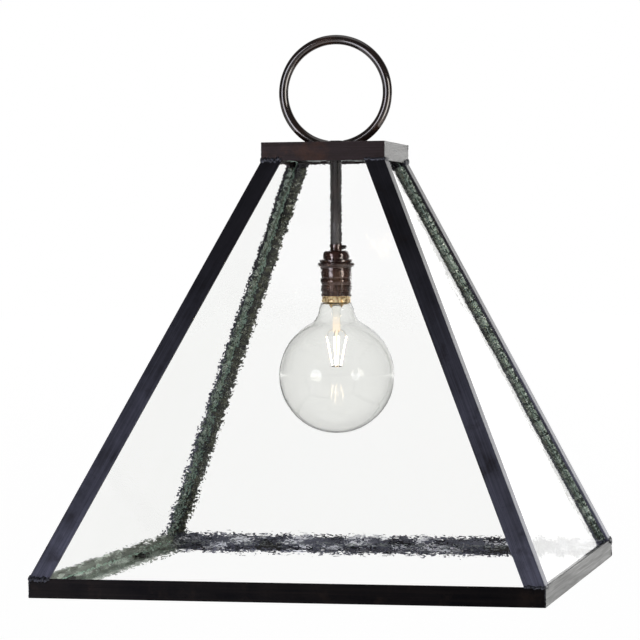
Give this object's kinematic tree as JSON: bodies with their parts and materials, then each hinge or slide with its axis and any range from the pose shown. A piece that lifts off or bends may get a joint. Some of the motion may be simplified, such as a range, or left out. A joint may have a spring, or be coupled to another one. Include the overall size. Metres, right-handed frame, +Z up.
{
  "type": "pendant light",
  "caption": "Square pyramid hanging lantern: welded dark angle-steel frame, sloping clear glass panes, a cap with a round hanging ring, and a stem-hung lampholder with a globe lamp",
  "frame": {"origin": "centre of the square base, on the plane the base rails stand on", "axes": "+Z points up through the stem and the hanging ring; +X lies along the ring's plane, to the right as seen from the front; -Y points out of the front pane"},
  "size_m": [0.53, 0.53, 0.5857],
  "materials": {
    "frame_steel": "dark bronze-brown coat over hot-rolled angle bar, rubbed and lightly rusted, welds left showing",
    "ring_steel": "dark rust-brown coat, slightly glossy",
    "stem_steel": "dark bronze, satin",
    "bedding": "grey-green glazing strip, matt",
    "block_rubber": "black rubber, matt",
    "pane_glass": "clear drawn glass with a slightly wavy face, pale green edges",
    "holder_bronze": "dark red-brown bronze plate, satin",
    "holder_ceramic": "unglazed off-white ceramic",
    "holder_brass": "plain rolled brass",
    "holder_screw": "darkened steel thumb screw",
    "lamp_glass": "clear thin blown glass",
    "lamp_cap_brass": "bright rolled brass",
    "lamp_insulator_black": "black glass",
    "lamp_contact_metal": "dull solder on a steel button",
    "lamp_mount_glass": "clear pressed glass",
    "filament": "phosphor-coated strip, lit warm white",
    "lamp_wire": "bright nickel wire"
  },
  "bodies": {
    "lantern": {"base_rail_front": "frame_steel", "base_rail_right": "frame_steel", "base_rail_back": "frame_steel", "base_rail_left": "frame_steel", "leg_front_left": "frame_steel", "leg_front_right": "frame_steel", "leg_back_right": "frame_steel", "leg_back_left": "frame_steel", "cap_side_front": "frame_steel", "cap_side_right": "frame_steel", "cap_side_back": "frame_steel", "cap_side_left": "frame_steel", "cap_plate": "frame_steel", "hanging_ring": "ring_steel", "stem_pipe": "stem_steel", "stem_sleeve": "stem_steel", "stem_lock_nut": "stem_steel", "bedding_strip_front_left": "bedding", "bedding_strip_front_right": "bedding", "bedding_strip_right_left": "bedding", "bedding_strip_right_right": "bedding", "bedding_strip_back_left": "bedding", "bedding_strip_back_right": "bedding", "bedding_strip_left_left": "bedding", "bedding_strip_left_right": "bedding", "setting_block_front_left": "block_rubber", "setting_block_front_right": "block_rubber", "setting_block_right_left": "block_rubber", "setting_block_right_right": "block_rubber", "setting_block_back_left": "block_rubber", "setting_block_back_right": "block_rubber", "setting_block_left_left": "block_rubber", "setting_block_left_right": "block_rubber", "glass_pane_front": "pane_glass", "glass_pane_right": "pane_glass", "glass_pane_back": "pane_glass", "glass_pane_left": "pane_glass", "holder_cap": "holder_bronze", "holder_collar": "holder_bronze", "holder_skirt": "holder_bronze", "holder_liner": "holder_ceramic", "holder_screw_shell": "holder_brass", "holder_contact": "holder_brass", "holder_set_screw": "holder_screw"},
    "lamp_foot": {"lamp_insulator": "lamp_insulator_black", "lamp_contact": "lamp_contact_metal"},
    "lamp": {"lamp_globe": "lamp_glass", "lamp_cap": "lamp_cap_brass", "lamp_mount_stem": "lamp_mount_glass", "lamp_filament_1": "filament", "lamp_filament_2": "filament", "lamp_filament_3": "filament", "lamp_filament_4": "filament", "lamp_lead_wires": "lamp_wire", "lamp_filament_hub": "lamp_wire"}
  },
  "joints": [
    {"name": "lamp_travel", "type": "slide", "parent": "lantern", "child": "lamp_foot", "axis": [0, 0, -1], "range_m": [0, 0.0236]},
    {"name": "lamp_turn", "type": "hinge", "parent": "lamp_foot", "child": "lamp", "pos_m": [0, 0, 0.3], "axis": [0, 0, -1], "range_deg": [0, 2340]}
  ],
  "couplings": [
    {"joint": "lamp_travel", "follows": "lamp_turn", "m_per_rad": 0.0005775}
  ]
}
